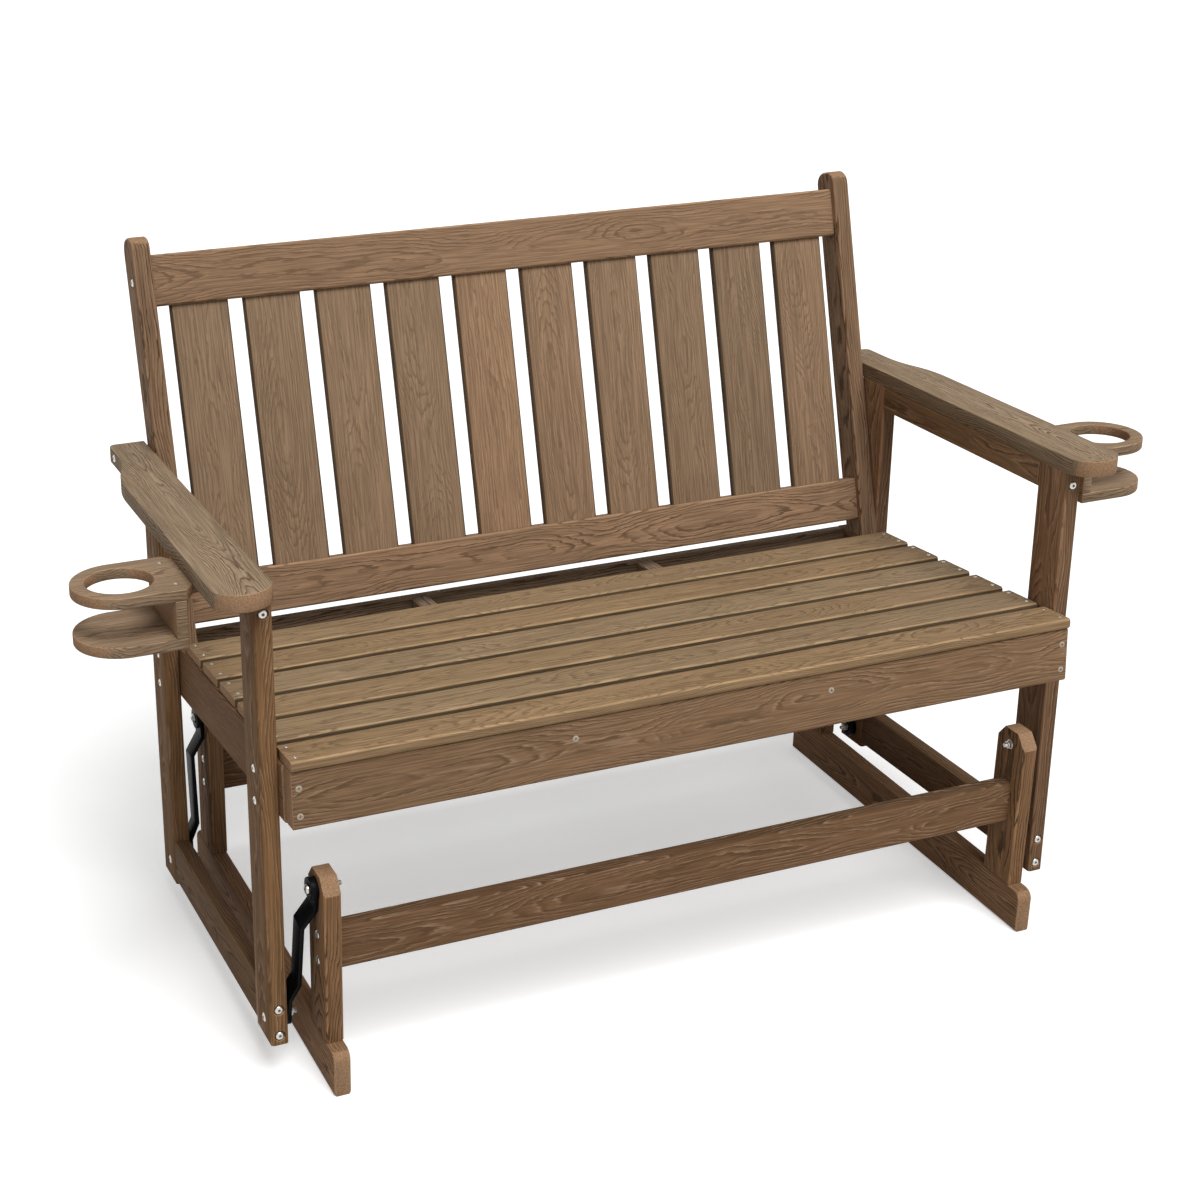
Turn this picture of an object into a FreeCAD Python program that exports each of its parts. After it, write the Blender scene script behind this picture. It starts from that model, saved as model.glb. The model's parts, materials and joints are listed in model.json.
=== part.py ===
import FreeCAD, Part
import math
import os

import Sketcher

# A two-seat glider bench. A low base stands on the floor, and a seat carriage
# hangs from it on four joggled steel links. X runs to the bench's right as seen
# from the front, Y to the back, Z up. Sizes are millimetres and degrees.

SIZES = {
    # side frames of the carriage, measured from a front leg's front bottom edge
    "leg_inside": 541.0,
    "leg_thickness": 22.0,
    "leg_depth": 60.0,
    "leg_length": 585.3,
    "leg_spacing": 428.0,
    "bottom_rail_height": 60.0,
    "bottom_rail_rise": 6.3,
    "arm_rail_height": 36.0,
    "lower_pivot_height": 24.6,
    # how the carriage hangs over the base
    "carriage_front": -515.1,
    "carriage_rise": 49.4,
    "carriage_lean": 1.5,
    # base, its posts inside the legs and spread further apart than the legs
    "link_room": 37.0,
    "base_thickness": 22.0,
    "upright_depth": 60.0,
    "upright_front": -550.0,
    "upright_spread": 56.0,
    "upright_top": 284.0,
    "upright_chamfer_across": 16.0,
    "upright_chamfer_down": 20.0,
    "foot_height": 61.0,
    "foot_nose": 24.6,
    "foot_nose_radius": 14.0,
    "stretcher_height": 60.0,
    "stretcher_bottom": 150.0,
    "upper_pivot_drop": 21.0,
    # seat
    "seat_front": -39.0,
    "seat_height": 397.8,
    "seat_fall": 3.57,
    "seat_gap": 3.0,
    "slat_thickness": 14.0,
    "front_slat_width": 58.0,
    "slats_before_leg": 26.5,
    "slat_gap": 12.5,
    "seat_slats": 6,
    "seat_board": 25.0,
    "seat_board_height": 74.0,
    "apron_set_back": 4.3,
    "seat_rail_behind_leg": 8.3,
    "rear_rail_thickness": 20.0,
    "brace_centre": 177.0,
    # back
    "back_behind_leg": 2.2,
    "back_below_seat": 7.2,
    "back_recline": 15.0,
    "stile_depth": 48.0,
    "stile_top": 509.0,
    "stile_corner": 18.0,
    "back_rail_set_back": 9.5,
    "back_rail_thickness": 25.0,
    "top_rail_bottom": 416.0,
    "top_rail_height": 68.0,
    "bottom_rail_bottom": -8.0,
    "back_bottom_rail_height": 62.0,
    "back_slat_width": 80.0,
    "back_slat_thickness": 12.0,
    "back_slats": 10,
    "tenon": 10.0,
    # arms
    "arm_thickness": 22.0,
    "arm_width": 70.5,
    "arm_narrow_width": 49.0,
    "arm_flare_from_rear": 172.0,
    "arm_flare_radius": 180.0,
    "arm_behind_leg": 65.0,
    "arm_side_front": -6.0,
    "arm_tip": 24.4,
    "arm_rear_radius": 9.0,
    # cup holders, which stand out from the front legs
    "cup_centre_out": 123.0,
    "cup_centre_back": 122.0,
    "cup_plate_radius": 57.0,
    "cup_hole_radius": 40.0,
    "cup_plate_thickness": 14.0,
    "cup_block_out": 58.0,
    "cup_block_height": 46.0,
    "cup_neck_across": 12.0,
    "cup_neck_step": 18.0,
    # links and their pivots
    "bar_width": 27.0,
    "bar_thickness": 5.0,
    "hub_radius": 14.5,
    "hub_depth": 9.0,
    "hub_play": 0.5,
    "bush_radius": 7.0,
    "turning_fit": 0.05,
    "open_pivot_play": 2.5,
    "upper_joggle": 16.0,
    "upper_bend_start": 25.5,
    "upper_bend_length": 25.5,
    "lower_bend_start": 28.5,
    "lower_bend_length": 23.0,
    "pivot_bolt_radius": 3.0,
    "pivot_head_radius": 6.3,
    "pivot_head_height": 3.6,
    "pivot_thread_out": 5.0,
    "nut_radius": 5.8,
    "nut_height": 5.0,
    # frame bolts, and the recess of every bolt head that is let into a board
    "bolt_radius": 3.0,
    "bolt_head_radius": 5.7,
    "bolt_head_height": 3.6,
    "bolt_recess_radius": 7.0,
    "bolt_recess": 3.2,
    "bolt_bite": 30.0,
    "bolt_cover": 2.0,
    "bolt_pair": 36.0,
    "end_bolt_drop": 5.7,
    "arm_bolt_back": 41.0,
    "seat_bolt_pair": 42.0,
    # small repeated rounds, the bolts, their holes and recesses, are drawn with flats
    "round_sides": 12,
    "eased_edge": 2.5,
}

doc = FreeCAD.newDocument("GliderBench")
ACROSS = FreeCAD.Vector(1, 0, 0)
UP = FreeCAD.Vector(0, 0, 1)


def fill_sheet(name, values):
    """Keep named values in a sheet, one row and one alias each."""
    sheet = doc.addObject("Spreadsheet::Sheet", name)
    for row, (alias, value) in enumerate(values.items(), 1):
        sheet.set(f"A{row}", alias)
        sheet.set(f"B{row}", str(value))
        sheet.setAlias(f"B{row}", alias)
    doc.recompute()
    return sheet


sizes = fill_sheet("Sizes", SIZES)


def size(alias):
    """One driving size, read from the sheet."""
    return float(sizes.get(alias))


def tilted(back, up, degrees):
    """A frame at a place in the YZ plane, its top leaned back by some degrees."""
    return FreeCAD.Placement(FreeCAD.Vector(0, back, up), FreeCAD.Rotation(ACROSS, -degrees))


# Four frames carry every piece: the floor's own, the carriage's, and within the
# carriage the fallen seat and the reclined back.
BASE = FreeCAD.Placement()
CARRIAGE = tilted(size("carriage_front"), size("carriage_rise"), size("carriage_lean"))
SEAT_IN_CARRIAGE = tilted(size("seat_front"), size("seat_height"), size("seat_fall"))
back_foot = size("leg_spacing") + size("back_behind_leg")
back_datum = size("seat_height") - size("back_below_seat")
BACK_IN_CARRIAGE = tilted(back_foot, back_datum, size("back_recline"))
SEAT = CARRIAGE * SEAT_IN_CARRIAGE
BACK = CARRIAGE * BACK_IN_CARRIAGE


def seat_rail_middle(back):
    """Height in the carriage of the seat frame's middle line at a distance back."""
    fall = math.radians(size("seat_fall"))
    middle = -size("slat_thickness") - size("seat_board_height") / 2
    along = (back - size("seat_front") - middle * math.sin(fall)) / math.cos(fall)
    return size("seat_height") - along * math.sin(fall) + middle * math.cos(fall)


def stile_foot(behind):
    """Where a line of the stile, some way behind its front face, meets the seat rail's top."""
    to_seat = SEAT_IN_CARRIAGE.inverse() * BACK_IN_CARRIAGE
    start = to_seat * FreeCAD.Vector(0, behind, 0)
    rise = (to_seat * FreeCAD.Vector(0, behind, 1)).z - start.z
    return (-size("slat_thickness") - start.z) / rise


def stile_at_arm():
    """Distance back, in the carriage, of the stile's front face at the armrest's middle."""
    up = size("leg_length") + size("arm_thickness") / 2 - back_datum
    return back_foot + up * math.tan(math.radians(size("back_recline")))


def link_pose(back, drop_from):
    """Placement and length of the link between a base pivot and a carriage pivot."""
    upper = FreeCAD.Vector(0, back, UPPER_PIVOT_UP)
    lower = CARRIAGE * FreeCAD.Vector(0, drop_from, size("lower_pivot_height"))
    span = lower - upper
    degrees = math.degrees(math.atan2(span.y, -span.z))
    return FreeCAD.Placement(upper, FreeCAD.Rotation(ACROSS, degrees)), span.Length


def bend_shift(joggle, length):
    """How far the far face of a bent bar is ahead of its near face at a bend."""
    return size("bar_thickness") * math.tan(math.atan2(joggle, length) / 2)


UPPER_PIVOT_UP = size("upright_top") - size("upper_pivot_drop")
FRONT_LEG_MIDDLE = size("leg_depth") / 2
REAR_LEG_MIDDLE = FRONT_LEG_MIDDLE + size("leg_spacing")
FRONT_UPRIGHT_MIDDLE = size("upright_front") + size("upright_depth") / 2
REAR_UPRIGHT_MIDDLE = FRONT_UPRIGHT_MIDDLE + size("leg_spacing") + size("upright_spread")
FRONT_LINK, front_link_length = link_pose(FRONT_UPRIGHT_MIDDLE, FRONT_LEG_MIDDLE)
REAR_LINK, rear_link_length = link_pose(REAR_UPRIGHT_MIDDLE, REAR_LEG_MIDDLE)
base_outside = size("leg_inside") - size("link_room")
upper_bar = base_outside + size("hub_play")
lower_bar = size("leg_inside") - size("hub_play") - size("hub_depth")
lower_joggle = lower_bar - upper_bar - size("upper_joggle")

fill_sheet("Worked", {
    "base_outside": base_outside,
    "front_link_length": front_link_length,
    "rear_link_length": rear_link_length,
    "lower_joggle": lower_joggle,
    "upper_shift": bend_shift(size("upper_joggle"), size("upper_bend_length")),
    "lower_shift": bend_shift(lower_joggle, size("lower_bend_length")),
    "front_seat_bolts": seat_rail_middle(FRONT_LEG_MIDDLE),
    "rear_seat_bolts": seat_rail_middle(REAR_LEG_MIDDLE),
    "stile_foot_front": stile_foot(0),
    "stile_foot_rear": stile_foot(size("stile_depth")),
    "stile_at_arm": stile_at_arm(),
})

nodes = []
cuts = []


def start_body(name, frame):
    """A new piece, drawn in one of the frames."""
    body = doc.addObject("PartDesign::Body", name)
    body.Label = name
    body.Placement = frame
    nodes.append(body)
    return body


def origin_plane(body, plane):
    """One of a body's own origin planes."""
    return next(item for item in body.Origin.OriginFeatures if item.Role == plane)


def new_sketch(body, plane, offset="0"):
    """A sketch parallel to one of the body's own origin planes."""
    sketch = body.newObject("Sketcher::SketchObject", f"{body.Name}_sketch")
    sketch.AttachmentSupport = [(origin_plane(body, plane), "")]
    sketch.MapMode = "FlatFace"
    sketch.setExpression("AttachmentOffset.Base.z", offset)
    return sketch


def hold(sketch, expression, kind, number, end=0):
    """Bind a radius, or an end's distance from the origin, to the sheets."""
    if kind == "Radius":
        present = sketch.Geometry[number].Radius
        constraint = Sketcher.Constraint(kind, number, present)
    else:
        point = sketch.getPoint(number, end)
        present = point.x if kind == "DistanceX" else point.y
        constraint = Sketcher.Constraint(kind, -1, 1, number, end, present)
    sketch.setExpression(f"Constraints[{sketch.addConstraint(constraint)}]", expression)


def join_ends(sketch, count):
    """Close a chain of lines and arcs, each ending where the next starts."""
    for number in range(count):
        sketch.addConstraint(Sketcher.Constraint("Coincident", number, 2, (number + 1) % count, 1))


def draw_outline(sketch, corners):
    """Straight lines through corners, whose two distances are sheet expressions."""
    count = len(corners)
    ring = []
    for number in range(count):
        angle = 2 * math.pi * number / count
        ring.append(FreeCAD.Vector(100 * math.cos(angle), 100 * math.sin(angle), 0))
    for number in range(count):
        sketch.addGeometry(Part.LineSegment(ring[number], ring[(number + 1) % count]))
    join_ends(sketch, count)
    for number, (across, up) in enumerate(corners):
        hold(sketch, across, "DistanceX", number, 1)
        hold(sketch, up, "DistanceY", number, 1)


def pad(body, sketch, length, symmetric=False):
    """Give a sketch its thickness."""
    feature = body.newObject("PartDesign::Pad", f"{body.Name}_pad")
    feature.Profile = sketch
    feature.setExpression("Length", length)
    if symmetric:
        feature.SideType = "Symmetric"
    doc.recompute()
    return feature


def cut(body, sketch, depth, along_normal=False):
    """Pocket a sketch, by default against its plane's normal."""
    feature = body.newObject("PartDesign::Pocket", f"{body.Name}_pocket")
    feature.Profile = sketch
    feature.Reversed = along_normal
    feature.setExpression("Length", depth)
    cuts.append(feature)
    doc.recompute()
    return feature


def bore(body, plane, offset, spot, radius, depth):
    """A round hole, cut against the normal of a plane at an offset."""
    sketch = new_sketch(body, plane, offset)
    sketch.addGeometry(Part.Circle(FreeCAD.Vector(100, 100, 0), UP, 5))
    hold(sketch, spot[0], "DistanceX", 0, 3)
    hold(sketch, spot[1], "DistanceY", 0, 3)
    hold(sketch, radius, "Radius", 0)
    cut(body, sketch, depth)


def sink(body, plane, bottom, spots, radius, depth):
    """Bolt holes or recesses, up a plane's normal from their bottoms, sided like the bolts."""
    for across, up in spots:
        recess = body.newObject("PartDesign::SubtractivePrism", f"{body.Name}_recess")
        recess.AttachmentSupport = [(origin_plane(body, plane), "")]
        recess.MapMode = "FlatFace"
        recess.setExpression("Polygon", "Sizes.round_sides")
        recess.setExpression("Circumradius", radius)
        recess.setExpression("Height", depth)
        recess.setExpression("AttachmentOffset.Base.x", across)
        recess.setExpression("AttachmentOffset.Base.y", up)
        recess.setExpression("AttachmentOffset.Base.z", bottom)
        cuts.append(recess)
        doc.recompute()


def finish_edges(body, kind, chosen, amount):
    """Chamfer or round the edges of a body's last feature that a test chooses."""
    tip = body.Tip
    names = [f"Edge{number}" for number, edge in enumerate(tip.Shape.Edges, 1) if chosen(edge)]
    feature = body.newObject(f"PartDesign::{kind}", f"{body.Name}_{kind.lower()}")
    feature.Base = (tip, names)
    feature.setExpression("Size" if kind == "Chamfer" else "Radius", amount)
    doc.recompute()
    return feature


def runs_along(direction):
    """A test for straight edges that run along a body's own axis."""
    def test(edge):
        ends = edge.Vertexes
        if len(ends) < 2 or edge.Curve.TypeId != "Part::GeomLine":
            return False
        span = ends[1].Point - ends[0].Point
        return abs(span.normalize().dot(direction)) > 0.999
    return test


def ease(body, direction):
    """Ease a board's long edges with a small flat."""
    finish_edges(body, "Chamfer", runs_along(direction), "Sizes.eased_edge")


def rectangle(low, high):
    """Four corners between two pairs of expressions."""
    return [low, (high[0], low[1]), high, (low[0], high[1])]


def mirrored(body, name):
    """The left-hand copy of a right-hand piece."""
    copy = doc.addObject("Part::Mirroring", name)
    copy.Label = name
    copy.Source = body
    copy.Normal = ACROSS
    nodes.append(copy)
    return copy


BACKWARD = FreeCAD.Vector(0, 1, 0)
BASE_INSIDE = "Worked.base_outside - Sizes.base_thickness"
STILE_INSIDE = "Sizes.leg_inside - Sizes.seat_board"
LEG_OUTSIDE = "Sizes.leg_inside + Sizes.leg_thickness"
REAR_LEG = "Sizes.leg_spacing"
REAR_LEG_BACK = "Sizes.leg_spacing + Sizes.leg_depth"
REAR_UPRIGHT = "Sizes.upright_front + Sizes.leg_spacing + Sizes.upright_spread"


def make_foot():
    """A board on the floor, its top corners rounded off at both ends."""
    body = start_body("foot_right", BASE)
    front = "Sizes.upright_front - Sizes.foot_nose"
    rear = f"{REAR_UPRIGHT} + Sizes.upright_depth + Sizes.foot_nose"
    sketch = new_sketch(body, "YZ_Plane", BASE_INSIDE)
    draw_outline(sketch, rectangle((front, "0"), (rear, "Sizes.foot_height")))
    pad(body, sketch, "Sizes.base_thickness")
    top = size("foot_height")
    crosswise = runs_along(ACROSS)
    finish_edges(body, "Fillet", lambda edge: crosswise(edge) and edge.BoundBox.ZMin > top - 1,
                 "Sizes.foot_nose_radius")
    ease(body, BACKWARD)
    mirrored(body, "foot_left")


def make_upright(place, front):
    """A post on the foot: chamfered top, pivot hole, two recesses for the stretcher's bolts."""
    body = start_body(f"upright_{place}_right", BASE)
    rear = f"{front} + Sizes.upright_depth"
    shoulder = "Sizes.upright_top - Sizes.upright_chamfer_down"
    sketch = new_sketch(body, "YZ_Plane", BASE_INSIDE)
    draw_outline(sketch, [
        (front, "Sizes.foot_height"),
        (rear, "Sizes.foot_height"),
        (rear, shoulder),
        (f"{rear} - Sizes.upright_chamfer_across", "Sizes.upright_top"),
        (f"{front} + Sizes.upright_chamfer_across", "Sizes.upright_top"),
        (front, shoulder),
    ])
    pad(body, sketch, "Sizes.base_thickness")
    ease(body, UP)
    middle = f"{front} + Sizes.upright_depth / 2"
    stretcher_middle = "Sizes.stretcher_bottom + Sizes.stretcher_height / 2"
    sink(body, "YZ_Plane", BASE_INSIDE, [(middle, "Sizes.upright_top - Sizes.upper_pivot_drop")],
         "Sizes.pivot_bolt_radius", "Sizes.base_thickness")
    sink(body, "YZ_Plane", "Worked.base_outside - Sizes.bolt_recess",
         [(middle, f"{stretcher_middle} - Sizes.bolt_pair / 2"),
          (middle, f"{stretcher_middle} + Sizes.bolt_pair / 2")],
         "Sizes.bolt_recess_radius", "Sizes.bolt_recess")
    mirrored(body, f"upright_{place}_left")


def make_stretcher(place, front):
    """A cross board between two uprights, in the middle of their depth."""
    body = start_body(f"stretcher_{place}", BASE)
    middle = f"{front} + Sizes.upright_depth / 2"
    sketch = new_sketch(body, "YZ_Plane")
    draw_outline(sketch, rectangle(
        (f"{middle} - Sizes.base_thickness / 2", "Sizes.stretcher_bottom"),
        (f"{middle} + Sizes.base_thickness / 2", "Sizes.stretcher_bottom + Sizes.stretcher_height")))
    pad(body, sketch, f"2 * ({BASE_INSIDE})", symmetric=True)
    ease(body, ACROSS)


def make_leg(place, front, end_recess, seat_bolts):
    """A carriage leg: pivot hole with a recess, end-bolt recesses, two seat-bolt recesses."""
    body = start_body(f"leg_{place}_right", CARRIAGE)
    sketch = new_sketch(body, "YZ_Plane", "Sizes.leg_inside")
    draw_outline(sketch, rectangle(
        (front, "0"), (f"{front} + Sizes.leg_depth", "Sizes.leg_length")))
    pad(body, sketch, "Sizes.leg_thickness")
    ease(body, UP)
    middle = f"{front} + Sizes.leg_depth / 2"
    pivot = (middle, "Sizes.lower_pivot_height")
    sink(body, "YZ_Plane", "Sizes.leg_inside", [pivot], "Sizes.pivot_bolt_radius", "Sizes.leg_thickness")
    sink(body, "YZ_Plane", f"{LEG_OUTSIDE} - Sizes.bolt_recess",
         [pivot,
          (middle, f"{seat_bolts} - Sizes.seat_bolt_pair / 2"),
          (middle, f"{seat_bolts} + Sizes.seat_bolt_pair / 2")],
         "Sizes.bolt_recess_radius", "Sizes.bolt_recess")
    board_middle = "Sizes.leg_inside + Sizes.leg_thickness / 2"
    bottom_middle = "Sizes.bottom_rail_rise + Sizes.bottom_rail_height / 2 - Sizes.end_bolt_drop"
    arm_middle = "Sizes.leg_length - Sizes.arm_rail_height / 2"
    sink(body, "XZ_Plane", f"-({end_recess})",
         [(board_middle, f"{bottom_middle} - Sizes.bolt_pair / 2"),
          (board_middle, f"{bottom_middle} + Sizes.bolt_pair / 2"),
          (board_middle, arm_middle)],
         "Sizes.bolt_recess_radius", "Sizes.bolt_recess")
    mirrored(body, f"leg_{place}_left")


def make_side_rail(name, bottom, height):
    """A rail between the front and rear leg of one side."""
    body = start_body(f"{name}_right", CARRIAGE)
    sketch = new_sketch(body, "YZ_Plane", "Sizes.leg_inside")
    draw_outline(sketch, rectangle(("Sizes.leg_depth", bottom), (REAR_LEG, f"{bottom} + {height}")))
    pad(body, sketch, "Sizes.leg_thickness")
    ease(body, BACKWARD)
    mirrored(body, f"{name}_left")


def make_seat_board(name, inside, thickness, start, end):
    """A board of the seat frame that runs front to back under the slats."""
    body = start_body(name, SEAT)
    sketch = new_sketch(body, "YZ_Plane", inside)
    draw_outline(sketch, rectangle(
        (start, "-Sizes.slat_thickness - Sizes.seat_board_height"), (end, "-Sizes.slat_thickness")))
    pad(body, sketch, thickness)
    ease(body, BACKWARD)
    return body


def make_cross_board(name, frame, half_length, low, high):
    """A board that runs across the whole bench."""
    body = start_body(name, frame)
    sketch = new_sketch(body, "YZ_Plane")
    draw_outline(sketch, rectangle(low, high))
    pad(body, sketch, f"2 * ({half_length})", symmetric=True)
    ease(body, ACROSS)
    return body


def make_seat():
    """Side rails, braces, apron and rear rail, with the slats across them."""
    behind_apron = "Sizes.apron_set_back + Sizes.seat_board"
    rail_end = f"{REAR_LEG_BACK} - Sizes.seat_front + Sizes.seat_rail_behind_leg"
    rear_rail = f"{rail_end} - Sizes.rear_rail_thickness"
    slat_length = "Sizes.leg_inside - Sizes.seat_gap"
    rail = make_seat_board("seat_rail_right", STILE_INSIDE, "Sizes.seat_board", behind_apron, rail_end)
    mirrored(rail, "seat_rail_left")
    brace = make_seat_board("brace_right", "Sizes.brace_centre - Sizes.seat_board / 2",
                            "Sizes.seat_board", behind_apron, rear_rail)
    mirrored(brace, "brace_left")
    make_cross_board("apron", SEAT, slat_length,
                     ("Sizes.apron_set_back", "-Sizes.slat_thickness - Sizes.seat_board_height"),
                     (behind_apron, "-Sizes.slat_thickness"))
    make_cross_board("rear_seat_rail", SEAT, STILE_INSIDE,
                     (rear_rail, "-Sizes.slat_thickness - Sizes.seat_board_height"),
                     (rail_end, "-Sizes.slat_thickness"))
    make_cross_board("seat_slat_1", SEAT, slat_length,
                     ("0", "-Sizes.slat_thickness"), ("Sizes.front_slat_width", "0"))
    rest_of_seat = f"({REAR_LEG} - Sizes.seat_front - Sizes.slats_before_leg - Sizes.front_slat_width)"
    slat_pitch = f"{rest_of_seat} / (Sizes.seat_slats - 1)"
    for number in range(1, int(size("seat_slats"))):
        rear = f"Sizes.front_slat_width + {number} * {slat_pitch}"
        front = f"{rear} - {slat_pitch} + Sizes.slat_gap"
        make_cross_board(f"seat_slat_{number + 1}", SEAT, slat_length,
                         (front, "-Sizes.slat_thickness"), (rear, "0"))


def make_stile():
    """A reclined back post, cut to stand on the seat rail, its top corners rounded."""
    body = start_body("stile_right", BACK)
    sketch = new_sketch(body, "YZ_Plane", STILE_INSIDE)
    draw_outline(sketch, [
        ("0", "Worked.stile_foot_front"),
        ("Sizes.stile_depth", "Worked.stile_foot_rear"),
        ("Sizes.stile_depth", "Sizes.stile_top"),
        ("0", "Sizes.stile_top"),
    ])
    pad(body, sketch, "Sizes.seat_board")
    top = size("stile_top")
    crosswise = runs_along(ACROSS)
    finish_edges(body, "Fillet", lambda edge: crosswise(edge) and edge.BoundBox.ZMin > top - 1,
                 "Sizes.stile_corner")
    ease(body, UP)
    rail_middle = "Sizes.back_rail_set_back + Sizes.back_rail_thickness / 2"
    sink(body, "YZ_Plane", "Sizes.leg_inside - Sizes.bolt_recess",
         [(rail_middle, "Sizes.top_rail_bottom + Sizes.top_rail_height / 2"),
          (rail_middle, "Sizes.bottom_rail_bottom + Sizes.back_bottom_rail_height / 2")],
         "Sizes.bolt_recess_radius", "Sizes.bolt_recess")
    mirrored(body, "stile_left")


SLAT_FRONT = "Sizes.back_rail_set_back + (Sizes.back_rail_thickness - Sizes.back_slat_thickness) / 2"
BACK_GAPS = f"(2 * ({STILE_INSIDE}) - Sizes.back_slats * Sizes.back_slat_width)"
SLAT_PITCH = f"(Sizes.back_slat_width + {BACK_GAPS} / (Sizes.back_slats + 1))"


def make_back_rail(name, bottom, height, face, upward):
    """A rail between the stiles, with a row of mortises for the slats' ends."""
    rail_rear = "Sizes.back_rail_set_back + Sizes.back_rail_thickness"
    body = make_cross_board(name, BACK, STILE_INSIDE, ("Sizes.back_rail_set_back", bottom),
                            (rail_rear, f"{bottom} + {height}"))
    sketch = new_sketch(body, "XY_Plane", face)
    first = f"-{SLAT_PITCH} * (Sizes.back_slats - 1) / 2 - Sizes.back_slat_width / 2"
    draw_outline(sketch, rectangle((first, SLAT_FRONT),
                                   (f"{first} + Sizes.back_slat_width",
                                    f"{SLAT_FRONT} + Sizes.back_slat_thickness")))
    mortise = cut(body, sketch, "Sizes.tenon", along_normal=upward)
    row = body.newObject("PartDesign::LinearPattern", f"{name}_mortises")
    row.Originals = [mortise]
    row.Direction = (sketch, ["H_Axis"])
    row.setExpression("Length", f"{SLAT_PITCH} * (Sizes.back_slats - 1)")
    row.setExpression("Occurrences", "Sizes.back_slats")
    body.Tip = row
    doc.recompute()


def make_back():
    """Stiles, two rails and the upright slats let into them."""
    make_stile()
    top_of_bottom = "Sizes.bottom_rail_bottom + Sizes.back_bottom_rail_height"
    make_back_rail("back_top_rail", "Sizes.top_rail_bottom", "Sizes.top_rail_height",
                   "Sizes.top_rail_bottom", upward=True)
    make_back_rail("back_bottom_rail", "Sizes.bottom_rail_bottom", "Sizes.back_bottom_rail_height",
                   top_of_bottom, upward=False)
    count = int(size("back_slats"))
    for number in range(count):
        body = start_body(f"back_slat_{number + 1}", BACK)
        left = f"{SLAT_PITCH} * ({number} - (Sizes.back_slats - 1) / 2) - Sizes.back_slat_width / 2"
        sketch = new_sketch(body, "XY_Plane", f"{top_of_bottom} - Sizes.tenon")
        draw_outline(sketch, rectangle((left, SLAT_FRONT),
                                       (f"{left} + Sizes.back_slat_width",
                                        f"{SLAT_FRONT} + Sizes.back_slat_thickness")))
        pad(body, sketch, f"Sizes.top_rail_bottom - ({top_of_bottom}) + 2 * Sizes.tenon")
        ease(body, UP)


def make_armrest():
    """A flat arm: rounded front, an S-shaped step in its outer edge, narrow rear."""
    inside = size("leg_inside")
    wide = inside + size("arm_width")
    narrow = inside + size("arm_narrow_width")
    front = size("arm_side_front")
    rear = size("leg_spacing") + size("leg_depth") + size("arm_behind_leg")
    flare = rear - size("arm_flare_from_rear")
    radius = size("arm_flare_radius")
    step = wide - narrow
    swing = math.acos(1 - step / (2 * radius))
    flare_end = flare + 2 * radius * math.sin(swing)
    half = size("arm_width") / 2
    tip_radius = (half ** 2 + size("arm_tip") ** 2) / (2 * size("arm_tip"))
    tip_centre = FreeCAD.Vector(inside + half, front - size("arm_tip") + tip_radius, 0)
    tip_swing = math.asin(half / tip_radius)
    body = start_body("armrest_right", CARRIAGE)
    sketch = new_sketch(body, "XY_Plane", "Sizes.leg_length")

    def line(start, end):
        sketch.addGeometry(Part.LineSegment(FreeCAD.Vector(*start, 0), FreeCAD.Vector(*end, 0)))

    def arc(centre, arc_radius, start, end):
        circle = Part.Circle(centre, UP, arc_radius)
        sketch.addGeometry(Part.ArcOfCircle(circle, start, end))

    line((wide, front), (wide, flare))
    arc(FreeCAD.Vector(wide - radius, flare, 0), radius, 0, swing)
    arc(FreeCAD.Vector(narrow + radius, flare_end, 0), radius, math.pi, math.pi + swing)
    line((narrow, flare_end), (narrow, rear))
    line((narrow, rear), (inside, rear))
    line((inside, rear), (inside, front))
    arc(tip_centre, tip_radius, 1.5 * math.pi - tip_swing, 1.5 * math.pi + tip_swing)

    def tie(kind, *ends):
        sketch.addConstraint(Sketcher.Constraint(kind, *ends))

    tie("Tangent", 0, 2, 1, 1)
    tie("Tangent", 1, 2, 2, 2)
    tie("Tangent", 2, 1, 3, 1)
    tie("Coincident", 3, 2, 4, 1)
    tie("Coincident", 4, 2, 5, 1)
    tie("Coincident", 5, 2, 6, 1)
    tie("Coincident", 6, 2, 0, 1)
    tie("Vertical", 0)
    tie("Vertical", 3)
    tie("Horizontal", 4)
    tie("Vertical", 5)
    tie("Equal", 1, 2)
    hold(sketch, "Sizes.leg_inside + Sizes.arm_width", "DistanceX", 0, 1)
    hold(sketch, "Sizes.arm_side_front", "DistanceY", 0, 1)
    rear_back = f"{REAR_LEG_BACK} + Sizes.arm_behind_leg"
    hold(sketch, f"{rear_back} - Sizes.arm_flare_from_rear", "DistanceY", 0, 2)
    hold(sketch, "Sizes.arm_flare_radius", "Radius", 1)
    hold(sketch, "Sizes.leg_inside + Sizes.arm_narrow_width", "DistanceX", 3, 2)
    hold(sketch, rear_back, "DistanceY", 3, 2)
    hold(sketch, "Sizes.leg_inside", "DistanceX", 5, 1)
    hold(sketch, "Sizes.arm_side_front", "DistanceY", 5, 2)
    hold(sketch, "(Sizes.arm_width ^ 2 / 4 + Sizes.arm_tip ^ 2) / (2 * Sizes.arm_tip)", "Radius", 6)
    pad(body, sketch, "Sizes.arm_thickness")
    upright = runs_along(UP)

    def outer_rear(edge):
        return upright(edge) and edge.BoundBox.YMin > rear - 1 and edge.BoundBox.XMin > narrow - 1

    finish_edges(body, "Fillet", outer_rear, "Sizes.arm_rear_radius")
    sink(body, "YZ_Plane", "Sizes.leg_inside + Sizes.arm_narrow_width - Sizes.bolt_recess",
         [("Worked.stile_at_arm + Sizes.arm_bolt_back", "Sizes.leg_length + Sizes.arm_thickness / 2")],
         "Sizes.bolt_recess_radius", "Sizes.bolt_recess")
    mirrored(body, "armrest_left")


CUP_CENTRE_OUT = f"{LEG_OUTSIDE} + Sizes.cup_centre_out"


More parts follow.
